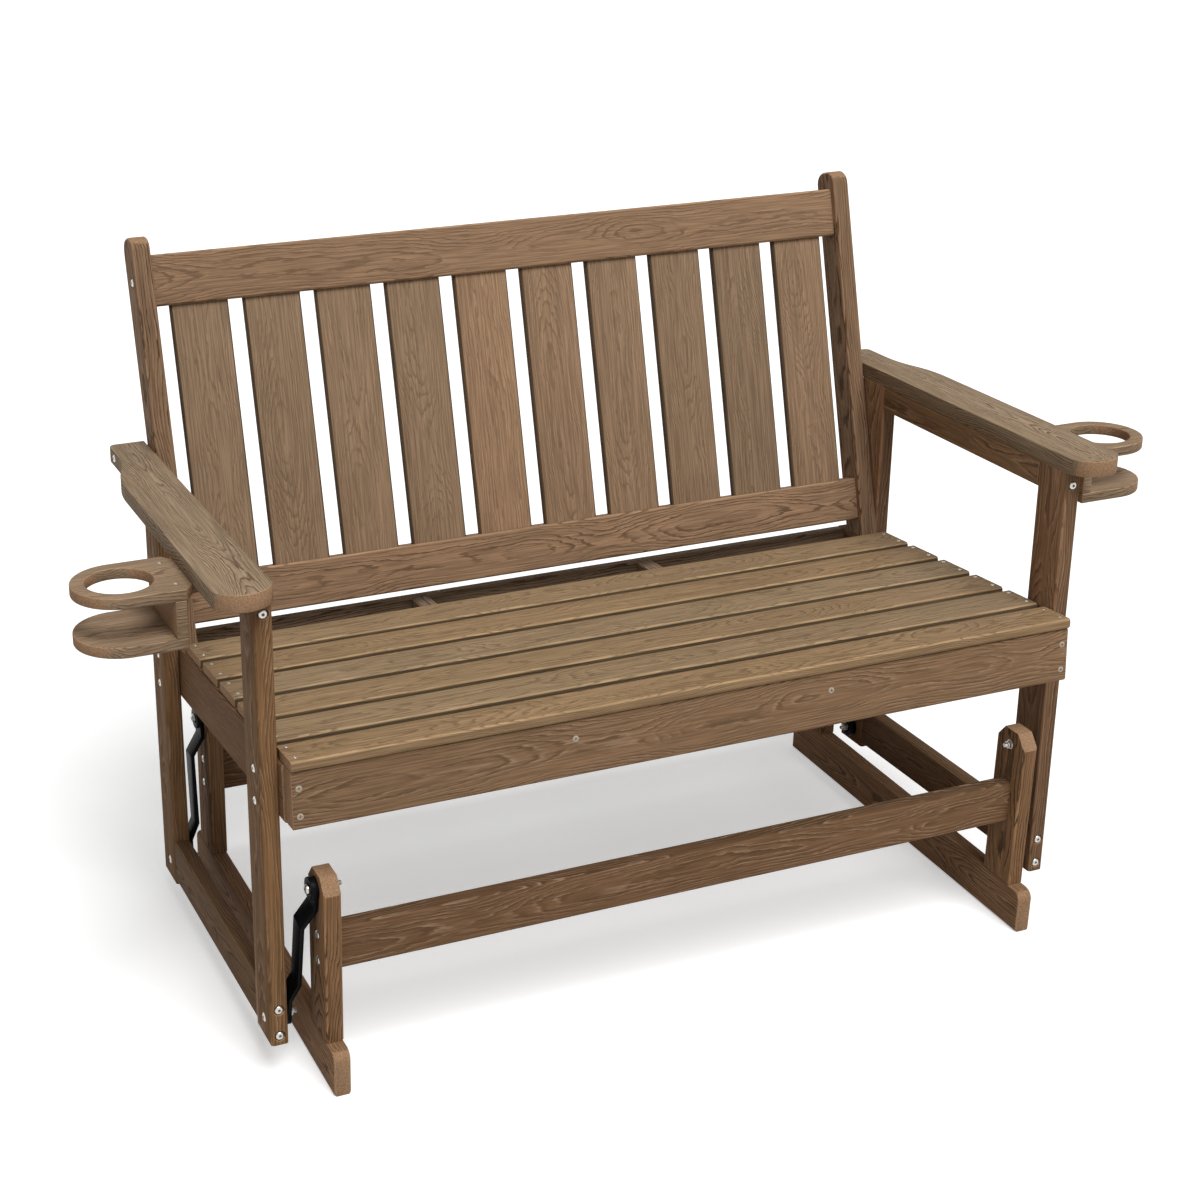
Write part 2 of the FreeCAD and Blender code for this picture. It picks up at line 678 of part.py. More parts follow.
def draw_cup_plate(body, offset, inner_corners):
    """A plate whose outer end is a half circle round the cup's centre."""
    leg_outside = size("leg_inside") + size("leg_thickness")
    centre = FreeCAD.Vector(leg_outside + size("cup_centre_out"), size("cup_centre_back"), 0)
    radius = size("cup_plate_radius")
    sketch = new_sketch(body, "XY_Plane", offset)
    sketch.addGeometry(Part.ArcOfCircle(Part.Circle(centre, UP, radius), -math.pi / 2, math.pi / 2))
    corners = [centre + FreeCAD.Vector(0, radius, 0)]
    corners += [centre - FreeCAD.Vector(100, -50 + 100 * number / len(inner_corners), 0)
                for number in range(len(inner_corners))]
    corners.append(centre - FreeCAD.Vector(0, radius, 0))
    for start, end in zip(corners, corners[1:]):
        sketch.addGeometry(Part.LineSegment(start, end))
    join_ends(sketch, len(corners))
    for end in (1, 2):
        sketch.addConstraint(Sketcher.Constraint("Vertical", 0, end, 0, 3))
    hold(sketch, CUP_CENTRE_OUT, "DistanceX", 0, 3)
    hold(sketch, "Sizes.cup_centre_back", "DistanceY", 0, 3)
    hold(sketch, "Sizes.cup_plate_radius", "Radius", 0)
    for number, (across, back) in enumerate(inner_corners, 1):
        hold(sketch, across, "DistanceX", number, 2)
        hold(sketch, back, "DistanceY", number, 2)
    pad(body, sketch, "Sizes.cup_plate_thickness")


def make_cup_holder():
    """A ring plate under the arm, a spacer block and a tray for the cup's foot."""
    rear = "Sizes.cup_centre_back + Sizes.cup_plate_radius"
    front = "Sizes.cup_centre_back - Sizes.cup_plate_radius"
    block = f"{LEG_OUTSIDE} + Sizes.cup_block_out"
    neck = f"{block} - Sizes.cup_neck_across"
    ring_bottom = "Sizes.leg_length - Sizes.cup_plate_thickness"
    block_bottom = f"{ring_bottom} - Sizes.cup_block_height"
    ring = start_body("cup_ring_right", CARRIAGE)
    draw_cup_plate(ring, ring_bottom, [
        (block, rear),
        (neck, f"{rear} - Sizes.cup_neck_step"),
        (LEG_OUTSIDE, f"{rear} - Sizes.cup_neck_step"),
        (LEG_OUTSIDE, f"{front} + Sizes.cup_neck_step"),
        (neck, f"{front} + Sizes.cup_neck_step"),
        (block, front),
    ])
    bore(ring, "XY_Plane", "Sizes.leg_length", (CUP_CENTRE_OUT, "Sizes.cup_centre_back"),
         "Sizes.cup_hole_radius", "Sizes.cup_plate_thickness")
    mirrored(ring, "cup_ring_left")
    spacer = start_body("cup_block_right", CARRIAGE)
    sketch = new_sketch(spacer, "YZ_Plane", block)
    draw_outline(sketch, rectangle((front, block_bottom), (rear, ring_bottom)))
    pad(spacer, sketch, "Sizes.cup_plate_thickness")
    mirrored(spacer, "cup_block_left")
    tray = start_body("cup_tray_right", CARRIAGE)
    draw_cup_plate(tray, f"{block_bottom} - Sizes.cup_plate_thickness", [(block, rear), (block, front)])
    mirrored(tray, "cup_tray_left")


def make_link(place, frame, length, play):
    """A flat steel bar joggled outward twice, with a bearing hub at each end."""
    body = start_body(f"link_{place}_right", frame)
    near = "Worked.base_outside + Sizes.hub_play"
    middle = f"{near} + Sizes.upper_joggle"
    far = "Sizes.leg_inside - Sizes.hub_play - Sizes.hub_depth"
    upper_start = "-Sizes.upper_bend_start"
    upper_end = f"{upper_start} - Sizes.upper_bend_length"
    lower_end = f"-{length} + Sizes.lower_bend_start"
    lower_start = f"{lower_end} + Sizes.lower_bend_length"
    inner_face = [
        (near, "Sizes.hub_radius / 2"),
        (near, upper_start),
        (middle, upper_end),
        (middle, lower_start),
        (far, lower_end),
        (far, f"-{length} - Sizes.hub_radius / 2"),
    ]
    upper, lower = "Worked.upper_shift", "Worked.lower_shift"
    shifts = ["0", upper, upper, lower, lower, "0"]
    outer_face = [(f"{across} + Sizes.bar_thickness", f"{up} + {shift}")
                  for (across, up), shift in zip(inner_face, shifts)]
    sketch = new_sketch(body, "XZ_Plane")
    draw_outline(sketch, inner_face + outer_face[::-1])
    pad(body, sketch, "Sizes.bar_width", symmetric=True)
    for start, height, clearance in ((near, "0", "Sizes.turning_fit"), (far, f"-{length}", play)):
        hub = new_sketch(body, "YZ_Plane", start)
        hub.addGeometry(Part.Circle(FreeCAD.Vector(10, -10, 0), UP, 5))
        hold(hub, "0", "DistanceX", 0, 3)
        hold(hub, height, "DistanceY", 0, 3)
        hold(hub, "Sizes.hub_radius", "Radius", 0)
        pad(body, hub, "Sizes.hub_depth")
        bore(body, "YZ_Plane", f"{start} + Sizes.hub_depth", ("0", height),
             f"Sizes.bush_radius + {clearance}", "Sizes.hub_depth")
    mirrored(body, f"link_{place}_left")


def prism(radius, bottom, top, sides):
    """A many-sided bar about its own Z axis, a corner on X as in the recesses."""
    corners = []
    for number in range(sides + 1):
        angle = 2 * math.pi * number / sides
        corners.append(FreeCAD.Vector(radius * math.cos(angle), radius * math.sin(angle), bottom))
    return Part.Face(Part.makePolygon(corners)).extrude(FreeCAD.Vector(0, 0, top - bottom))


def headed_bolt(radius, reach, head_radius, head_height):
    """A bolt whose head stands on the plane at zero and whose shank reaches down."""
    sides = int(size("round_sides"))
    return prism(head_radius, 0, head_height, sides).fuse(prism(radius, -reach, 0, sides))


def placed(shape, frame, place, direction):
    """A copy of a shape at a place in a frame, its own Z axis along a direction."""
    copy = shape.copy()
    turn = FreeCAD.Rotation(UP, FreeCAD.Vector(*direction))
    copy.Placement = frame * FreeCAD.Placement(FreeCAD.Vector(*place), turn)
    return copy


def fastener_group(name, right_hand):
    """Like pieces in one node: the right-hand ones and their mirror images."""
    left_hand = [shape.mirror(FreeCAD.Vector(), ACROSS) for shape in right_hand]
    group = doc.addObject("Part::Feature", name)
    group.Label = name
    group.Shape = Part.makeCompound(right_hand + left_hand)
    nodes.append(group)


OUT = (1, 0, 0)


def make_pivots():
    """The pivot bolts with their nuts, and the bushes, at both ends of the links."""
    radius = size("pivot_bolt_radius")
    bush_length = size("hub_depth") + 2 * size("hub_play")
    head_out = base_outside + bush_length
    leg_head = size("leg_inside") + size("leg_thickness") - size("bolt_recess")
    base_inside = base_outside - size("base_thickness")
    leg_nut = size("leg_inside") - bush_length
    nut_height = size("nut_height")
    nut_and_thread = nut_height + size("pivot_thread_out")
    upper_bolt = headed_bolt(radius, head_out - base_inside + nut_and_thread,
                             size("pivot_head_radius"), size("pivot_head_height"))
    lower_bolt = headed_bolt(radius, leg_head - leg_nut + nut_and_thread,
                             size("pivot_head_radius"), size("pivot_head_height"))
    sides = int(size("round_sides"))
    bush = Part.makeCylinder(size("bush_radius"), bush_length).cut(prism(radius, 0, bush_length, sides))
    nut = prism(size("nut_radius"), 0, nut_height, 6).cut(prism(radius, 0, nut_height, sides))
    upper = [(back, UPPER_PIVOT_UP) for back in (FRONT_UPRIGHT_MIDDLE, REAR_UPRIGHT_MIDDLE)]
    lower = [(back, size("lower_pivot_height")) for back in (FRONT_LEG_MIDDLE, REAR_LEG_MIDDLE)]
    nut_inside = base_inside - nut_height
    leg_nut_inside = leg_nut - nut_height
    upper_bolts = [placed(upper_bolt, BASE, (head_out, *spot), OUT) for spot in upper]
    upper_nuts = [placed(nut, BASE, (nut_inside, *spot), OUT) for spot in upper]
    lower_bolts = [placed(lower_bolt, CARRIAGE, (leg_head, *spot), OUT) for spot in lower]
    lower_nuts = [placed(nut, CARRIAGE, (leg_nut_inside, *spot), OUT) for spot in lower]
    fastener_group("upper_pivot_bolts", upper_bolts + upper_nuts)
    fastener_group("lower_pivot_bolts", lower_bolts + lower_nuts)
    fastener_group("upper_bushes",
                   [placed(bush, BASE, (base_outside, *spot), OUT) for spot in upper])
    fastener_group("lower_bushes", [placed(bush, CARRIAGE, (leg_nut, *spot), OUT) for spot in lower])


def make_bolts():
    """The bolts that hold the base's and the carriage's boards together."""
    recess = size("bolt_recess")
    inside = size("leg_inside")
    board = size("seat_board") - size("bolt_cover")

    def bolt(first_board, bite):
        return headed_bolt(size("bolt_radius"), first_board - recess + bite,
                           size("bolt_head_radius"), size("bolt_head_height"))

    pair = size("bolt_pair") / 2
    stretcher = size("stretcher_bottom") + size("stretcher_height") / 2
    out = base_outside - recess
    base_bolt = bolt(size("base_thickness"), size("bolt_bite"))
    fastener_group("base_bolts", [
        placed(base_bolt, BASE, (out, back, stretcher + side), OUT)
        for back in (FRONT_UPRIGHT_MIDDLE, REAR_UPRIGHT_MIDDLE) for side in (-pair, pair)])

    end_bolt = bolt(size("leg_depth"), size("bolt_bite"))
    seat_bolt = bolt(size("leg_thickness"), board)
    stile_bolt = bolt(size("seat_board"), size("bolt_bite"))
    arm_bolt = bolt(size("arm_narrow_width"), board)
    bottom = size("bottom_rail_rise") + size("bottom_rail_height") / 2 - size("end_bolt_drop")
    arm_rail = size("leg_length") - size("arm_rail_height") / 2
    leg_rear = size("leg_spacing") + size("leg_depth")
    seat_pair = size("seat_bolt_pair") / 2
    rail_middle = size("back_rail_set_back") + size("back_rail_thickness") / 2
    top_rail = size("top_rail_bottom") + size("top_rail_height") / 2
    bottom_rail = size("bottom_rail_bottom") + size("back_bottom_rail_height") / 2
    arm_spot = (inside + size("arm_narrow_width") - recess, stile_at_arm() + size("arm_bolt_back"),
                size("leg_length") + size("arm_thickness") / 2)
    frame_bolts = [placed(arm_bolt, CARRIAGE, arm_spot, OUT)]
    for back, direction in ((recess, (0, -1, 0)), (leg_rear - recess, (0, 1, 0))):
        for up in (bottom - pair, bottom + pair, arm_rail):
            spot = (inside + size("leg_thickness") / 2, back, up)
            frame_bolts.append(placed(end_bolt, CARRIAGE, spot, direction))
    for back in (FRONT_LEG_MIDDLE, REAR_LEG_MIDDLE):
        for side in (-seat_pair, seat_pair):
            spot = (inside + size("leg_thickness") - recess, back, seat_rail_middle(back) + side)
            frame_bolts.append(placed(seat_bolt, CARRIAGE, spot, OUT))
    for up in (top_rail, bottom_rail):
        frame_bolts.append(placed(stile_bolt, BACK, (inside - recess, rail_middle, up), OUT))
    fastener_group("frame_bolts", frame_bolts)


make_foot()
for place, front in (("front", "Sizes.upright_front"), ("rear", REAR_UPRIGHT)):
    make_upright(place, front)
    make_stretcher(place, front)
make_leg("front", "0", "Sizes.bolt_recess", "Worked.front_seat_bolts")
make_leg("rear", REAR_LEG, REAR_LEG_BACK, "Worked.rear_seat_bolts")
make_side_rail("bottom_rail", "Sizes.bottom_rail_rise", "Sizes.bottom_rail_height")
make_side_rail("arm_rail", "Sizes.leg_length - Sizes.arm_rail_height", "Sizes.arm_rail_height")
make_seat()
make_back()
make_armrest()
make_cup_holder()
make_link("front", FRONT_LINK, "Worked.front_link_length", "Sizes.turning_fit")
make_link("rear", REAR_LINK, "Worked.rear_link_length", "Sizes.open_pivot_play")
make_pivots()
make_bolts()
doc.recompute()

# The origin goes to the middle of the bounding box, on the floor.
box = FreeCAD.BoundBox()
for node in nodes:
    box.add(node.Shape.optimalBoundingBox(False))
to_middle = FreeCAD.Placement(FreeCAD.Vector(0, -box.Center.y, 0), FreeCAD.Rotation())
for node in nodes:
    if node.TypeId != "Part::Mirroring":
        node.Placement = to_middle * node.Placement
doc.recompute()

for item in doc.Objects:
    if "Invalid" in item.State or "Error" in item.State:
        raise RuntimeError(f"{item.Label} did not build: {item.State}")
for node in nodes:
    if node.Shape.isNull() or not node.Shape.isValid():
        raise RuntimeError(f"{node.Label} has no sound shape")
for feature in cuts:
    if feature.Shape.Volume > feature.BaseFeature.Shape.Volume - 1:
        raise RuntimeError(f"{feature.Name} cuts nothing")

os.makedirs("parts", exist_ok=True)
for node in nodes:
    node.Shape.exportStep(f"parts/{node.Label}.step")

print(len(nodes), "nodes, overall", [round(side, 1) for side in (box.XLength, box.YLength, box.ZLength)])
for name, frame, back, up in (("front upper", BASE, FRONT_UPRIGHT_MIDDLE, UPPER_PIVOT_UP),
                              ("rear upper", BASE, REAR_UPRIGHT_MIDDLE, UPPER_PIVOT_UP),
                              ("front lower", CARRIAGE, FRONT_LEG_MIDDLE, size("lower_pivot_height")),
                              ("rear lower", CARRIAGE, REAR_LEG_MIDDLE, size("lower_pivot_height"))):
    point = to_middle * frame * FreeCAD.Vector(0, back, up)
    print(f"{name} pivot: back {point.y:.3f}, up {point.z:.3f}")
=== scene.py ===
import bmesh
import bpy
import json
import math
from itertools import count
from mathutils import Matrix, Vector

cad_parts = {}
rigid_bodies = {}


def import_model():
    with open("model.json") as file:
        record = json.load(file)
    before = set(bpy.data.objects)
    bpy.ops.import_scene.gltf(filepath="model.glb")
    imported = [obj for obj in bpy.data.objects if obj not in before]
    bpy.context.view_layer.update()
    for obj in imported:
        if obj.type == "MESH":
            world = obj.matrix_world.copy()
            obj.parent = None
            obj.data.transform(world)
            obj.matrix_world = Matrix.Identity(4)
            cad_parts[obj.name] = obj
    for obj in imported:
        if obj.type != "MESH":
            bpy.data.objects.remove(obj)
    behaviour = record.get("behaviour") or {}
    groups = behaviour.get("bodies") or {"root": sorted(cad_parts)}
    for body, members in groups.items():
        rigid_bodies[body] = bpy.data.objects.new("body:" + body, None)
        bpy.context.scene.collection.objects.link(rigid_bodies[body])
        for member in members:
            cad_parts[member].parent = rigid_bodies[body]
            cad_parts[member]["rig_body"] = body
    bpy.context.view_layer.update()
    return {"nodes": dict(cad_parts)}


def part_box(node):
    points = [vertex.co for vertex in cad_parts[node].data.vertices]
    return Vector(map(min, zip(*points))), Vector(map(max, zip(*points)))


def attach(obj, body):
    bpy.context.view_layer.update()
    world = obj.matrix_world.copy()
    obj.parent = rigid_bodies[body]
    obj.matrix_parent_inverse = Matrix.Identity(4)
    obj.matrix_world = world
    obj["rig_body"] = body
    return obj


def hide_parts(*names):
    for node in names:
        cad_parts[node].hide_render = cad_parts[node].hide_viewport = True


# A two-seat glider bench of brown wood-grain plastic lumber: a low base on the
# floor, and a seat carriage that hangs from it on four black steel links.

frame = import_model()

# The studio: a white floor that runs on past the view, one broad soft lamp high
# in front and an even pale sky. The camera stands where the photograph's did, to
# the left of the bench and above it.

studio = bpy.context.scene
studio.view_settings.view_transform = "Standard"


def in_studio(name, data):
    """A new object in the studio that shows a camera, a lamp or a mesh."""
    thing = bpy.data.objects.new(name, data)
    studio.collection.objects.link(thing)
    return thing


def placed(name, shape):
    """A new object in the studio made of a finished bmesh, which is then let go."""
    mesh = bpy.data.meshes.new(name)
    shape.to_mesh(mesh)
    shape.free()
    return in_studio(name, mesh)


camera_place = Vector((-1.2062, -2.4084, 1.6081))
camera_looks = Vector((0.3458, 0.859, -0.3775))
lens_length = 65.05
film_width = 36
photo_side = 1200
photo_centre_across = 433.9
photo_centre_down = 546.6
camera = in_studio("camera", bpy.data.cameras.new("camera"))
camera.location = camera_place
camera.rotation_euler = camera_looks.to_track_quat("-Z", "Y").to_euler()
camera.data.lens = lens_length
camera.data.sensor_width = film_width
camera.data.shift_x = 0.5 - photo_centre_across / photo_side
camera.data.shift_y = photo_centre_down / photo_side - 0.5
studio.camera = camera

lamp_level = 0.83
lamp_from = Vector((0.06, -0.5, 0.86))
lamp_spread = 32
lamp = in_studio("lamp", bpy.data.lights.new("lamp", "SUN"))
lamp.rotation_euler = lamp_from.to_track_quat("Z", "Y").to_euler()
lamp.data.energy = lamp_level * math.pi
lamp.data.angle = math.radians(lamp_spread)


def feed(tree, node, inputs):
    """Give a node's inputs, by number or by name, values or other nodes' outputs."""
    for name, value in inputs.items():
        if isinstance(value, bpy.types.NodeSocket):
            tree.links.new(value, node.inputs[name])
        else:
            node.inputs[name].default_value = value


def joined(tree, kind, inputs, **settings):
    """A new node with its settings made and its inputs fed."""
    node = tree.nodes.new(kind)
    for name, value in settings.items():
        setattr(node, name, value)
    feed(tree, node, inputs)
    return node


def seen_directly(tree):
    """One for the camera's, mirror-like and see-through rays, nought for light that falls on things."""
    path = tree.nodes.new("ShaderNodeLightPath")
    total = path.outputs["Is Camera Ray"]
    for ray in ("Is Glossy Ray", "Is Transmission Ray"):
        add = joined(tree, "ShaderNodeMath", {0: total, 1: path.outputs[ray]}, use_clamp=True)
        total = add.outputs[0]
    return total


def shown_apart(tree, falling, seen):
    """One shader for the light that falls on things and another for what is seen directly."""
    inputs = {0: seen_directly(tree), 1: falling.outputs[0], 2: seen.outputs[0]}
    return joined(tree, "ShaderNodeMixShader", inputs).outputs[0]


sky_level = 0.36
white = (1, 1, 1, 1)
studio.world = bpy.data.worlds.new("sky")
studio.world.use_nodes = True
sky = studio.world.node_tree
sky.nodes.clear()
sky_light = joined(sky, "ShaderNodeBackground", {"Color": white, "Strength": sky_level})
sky_picture = joined(sky, "ShaderNodeBackground", {"Color": white, "Strength": 1.0})
joined(sky, "ShaderNodeOutputWorld", {"Surface": shown_apart(sky, sky_light, sky_picture)})

floor_half = 40
floor_bounce = 0.45
floor_glow = 0.2
floor_glow_level = 2.05
paper = bpy.data.materials.new("white_paper")
paper.use_nodes = True
tree = paper.node_tree
tree.nodes.clear()
bounce = joined(tree, "ShaderNodeBsdfDiffuse", {"Color": (floor_bounce, floor_bounce, floor_bounce, 1)})
shaded = joined(tree, "ShaderNodeBsdfDiffuse", {"Color": white})
glow = joined(tree, "ShaderNodeEmission", {"Strength": floor_glow_level})
lifted = joined(tree, "ShaderNodeMixShader", {0: floor_glow, 1: shaded.outputs[0], 2: glow.outputs[0]})
joined(tree, "ShaderNodeOutputMaterial", {"Surface": shown_apart(tree, bounce, lifted)})

shape = bmesh.new()
bmesh.ops.create_grid(shape, x_segments=1, y_segments=1, size=floor_half)
floor = placed("floor", shape)
floor.data.materials.append(paper)

# The feet: two boards that lie front to back on the floor. Like every board of
# the bench they are extruded plastic lumber, brown all through, with a wood
# grain rolled into the faces and the sawn ends left plain.


def srgb(code):
    """A colour written as on a paint chart, in the light's own scale."""
    parts = [int(code[place:place + 2], 16) / 255 for place in (0, 2, 4)]
    return [part / 12.92 if part <= 0.04045 else ((part + 0.055) / 1.055) ** 2.4 for part in parts] + [1]


def sums(tree, operation, first, second=0.0, third=0.0):
    """One sum on numbers or node outputs."""
    inputs = {0: first, 1: second, 2: third}
    return joined(tree, "ShaderNodeMath", inputs, operation=operation).outputs[0]


def eased(tree, value, low, high, at_low=0.0, at_high=1.0):
    """A smooth step from one level to another while a value goes from low to high."""
    inputs = {0: value, 1: low, 2: high, 3: at_low, 4: at_high}
    return joined(tree, "ShaderNodeMapRange", inputs, interpolation_type="SMOOTHSTEP").outputs[0]


def between(tree, value, rise_from, rise_to, fall_from, fall_to):
    """One while a value lies between a smooth step up and a smooth step down, and nought outside them."""
    rising = eased(tree, value, rise_from, rise_to)
    falling = eased(tree, value, fall_from, fall_to, 1, 0)
    return sums(tree, "MULTIPLY", rising, falling)


def tinted(tree, share, first, second):
    """A node's mix of two colours, by a share that is a number or a node's output."""
    return joined(tree, "ShaderNodeMix", {0: share, 6: first, 7: second}, data_type="RGBA").outputs[2]


def vector_sums(tree, operation, first, second):
    """One sum on two vectors."""
    return joined(tree, "ShaderNodeVectorMath", {0: first, 1: second}, operation=operation).outputs[0]


def grain_noise(tree, board, seed, stretch, detail=2.0):
    """Noise from nought to one, with its changes to the metre given along, across and through a board."""
    drift = 1.7
    spread = vector_sums(tree, "MULTIPLY", board, stretch)
    drifted = sums(tree, "MULTIPLY", seed, drift)
    shift = joined(tree, "ShaderNodeCombineXYZ", {"X": seed, "Y": drifted, "Z": seed}).outputs[0]
    shifted = vector_sums(tree, "ADD", spread, shift)
    noise = joined(tree, "ShaderNodeTexNoise", {"Vector": shifted, "Scale": 1.0, "Detail": detail})
    return noise.outputs["Fac"]


def grain_swing(tree, board, seed, stretch, detail):
    """The same noise swinging about nought."""
    return sums(tree, "SUBTRACT", grain_noise(tree, board, seed, stretch, detail), 0.5)


def make_grain():
    """The rolled grain as a node group: a plain-sawn log's rings cut by the board."""
    ring_rise = 0.055
    ring_sway = 0.05
    sway_seed = 9.0
    shiver_reach = 0.0065
    feather_reach = 0.0016
    streak_span = (0.3, 0.7)
    wear_span = (0.3, 0.6)
    groove_span = (0.58, 0.82, 0.9, 1.0)
    ridge_span = (0, 0.08, 0.1, 0.34)
    fleck_tone = 0.44
    cloud_tone = 0.3
    ridge_tone = 0.26
    face_roughness = 0.54
    fleck_roughness = 0.06
    groove_roughness = 0.12
    fleck_swell = 0.25
    ridge_swell = 0.3
    relief_depth = 0.0007
    relief_strength = 0.7
    tree = bpy.data.node_groups.new("lumber_grain", "ShaderNodeTree")
    sockets = {"INPUT": {"Vector": ("Board",),
                         "Float": ("Seed", "Heart", "Ring", "Lines", "Crests", "Sawn", "Tone"),
                         "Color": ("Face", "Groove", "Crest", "Cut")},
               "OUTPUT": {"Color": ("Color",), "Float": ("Roughness",), "Vector": ("Normal",)}}
    for way, kinds in sockets.items():
        for kind, names in kinds.items():
            for name in names:
                tree.interface.new_socket(name, in_out=way, socket_type=f"NodeSocket{kind}")
    given = tree.nodes.new("NodeGroupInput").outputs
    board, seed = given["Board"], given["Seed"]
    place = joined(tree, "ShaderNodeSeparateXYZ", {"Vector": board}).outputs

    # How far each spot lies from the log's heart, in rings, where the rings rise and
    # sway slowly along the board and shiver finely.
    rise = grain_swing(tree, board, seed, (3.6, 0, 0), 1.0)
    sway = grain_swing(tree, board, sums(tree, "ADD", seed, sway_seed), (3, 0, 0), 1.0)
    shiver = grain_swing(tree, board, seed, (12, 60, 60), 3.0)
    feather = grain_swing(tree, board, seed, (60, 420, 420), 2.0)
    above_heart = sums(tree, "ADD", given["Heart"], place["Z"])
    depth = sums(tree, "ADD", above_heart, sums(tree, "MULTIPLY", rise, ring_rise))
    aside = sums(tree, "ADD", place["Y"], sums(tree, "MULTIPLY", sway, ring_sway))
    depth_squared = sums(tree, "MULTIPLY", depth, depth)
    aside_squared = sums(tree, "MULTIPLY", aside, aside)
    reach = sums(tree, "SQRT", sums(tree, "ADD", depth_squared, aside_squared))
    feathering = sums(tree, "MULTIPLY", feather, feather_reach)
    unevenness = sums(tree, "MULTIPLY_ADD", shiver, shiver_reach, feathering)
    rings_out = sums(tree, "DIVIDE", sums(tree, "ADD", reach, unevenness), given["Ring"])
    ring_share = sums(tree, "FRACT", rings_out)

    # Each ring ends in a dark groove, with a pale ridge beside it. Both are worn away
    # in places, broken up by fine streaks, and missing on a sawn end.
    streak = eased(tree, grain_noise(tree, board, seed, (14, 500, 500), 3.0), *streak_span)
    wear = eased(tree, grain_noise(tree, board, seed, (8, 70, 70)), *wear_span)
    whole_face = sums(tree, "SUBTRACT", 1.0, given["Sawn"])
    strength = sums(tree, "MULTIPLY", sums(tree, "MULTIPLY", wear, given["Lines"]), whole_face)
    strength = sums(tree, "MULTIPLY", strength, sums(tree, "MULTIPLY_ADD", streak, 0.5, 0.5))
    groove = sums(tree, "MULTIPLY", between(tree, ring_share, *groove_span), strength)
    ridge = sums(tree, "MULTIPLY", between(tree, ring_share, *ridge_span), strength)

    # The colour: streaked faces or speckled ends, clouded, with the lines laid over.
    cloud = grain_noise(tree, board, seed, (3.2, 16, 16))
    speckle = eased(tree, grain_noise(tree, board, seed, (560, 560, 560), 3.0), *streak_span)
    flecks = {0: given["Sawn"], 2: streak, 3: speckle}
    fleck = joined(tree, "ShaderNodeMix", flecks, data_type="FLOAT").outputs[0]
    colour = tinted(tree, given["Sawn"], given["Face"], given["Cut"])
    colour = tinted(tree, groove, colour, given["Groove"])
    flecked = sums(tree, "MULTIPLY_ADD", fleck, fleck_tone, 1 - fleck_tone / 2)
    clouded = sums(tree, "MULTIPLY_ADD", cloud, cloud_tone, -cloud_tone / 2)
    tone = sums(tree, "ADD", flecked, clouded)
    # The ridges are made paler in tone and then mixed toward the crest colour: partly the grain's own
    # paler line, partly a painted highlight on the raised grain.
    tone = sums(tree, "ADD", tone, sums(tree, "MULTIPLY", ridge, ridge_tone))
    tone = sums(tree, "MULTIPLY", tone, given["Tone"])
    toned = joined(tree, "ShaderNodeVectorMath", {0: colour, "Scale": tone}, operation="SCALE")
    crest = sums(tree, "MULTIPLY", ridge, given["Crests"])
    colour = tinted(tree, crest, toned.outputs[0], given["Crest"])

    # The gloss and the relief: grooves are duller and lower, ridges and flecks stand up.
    dullness = sums(tree, "MULTIPLY_ADD", fleck, fleck_roughness, face_roughness)
    dullness = sums(tree, "MULTIPLY_ADD", groove, groove_roughness, dullness)
    swell = sums(tree, "MULTIPLY_ADD", fleck, fleck_swell, sums(tree, "MULTIPLY", ridge, ridge_swell))
    height = sums(tree, "SUBTRACT", swell, groove)
    relief = joined(tree, "ShaderNodeBump", {"Strength": relief_strength, "Distance": relief_depth,
                                             "Height": height})
    joined(tree, "NodeGroupOutput", {"Color": colour, "Roughness": dullness, "Normal": relief.outputs[0]})
    return tree


grain = make_grain()
board_numbers = count(1)
groove_brown = "4E3B2B"
crest_highlight_tan = "A8917A"
cut_brown = "9A7A5E"


def new_finish(name):
    """A new material, its node tree and its shader."""
    finish = bpy.data.materials.new(name)
    finish.use_nodes = True
    return finish, finish.node_tree, finish.node_tree.nodes["Principled BSDF"]


def squareness(tree, normal, direction):
    """How squarely a surface looks along a direction, either way, from nought to one."""
    facing = joined(tree, "ShaderNodeVectorMath", {0: normal, 1: direction}, operation="DOT_PRODUCT")
    return sums(tree, "ABSOLUTE", facing.outputs["Value"])


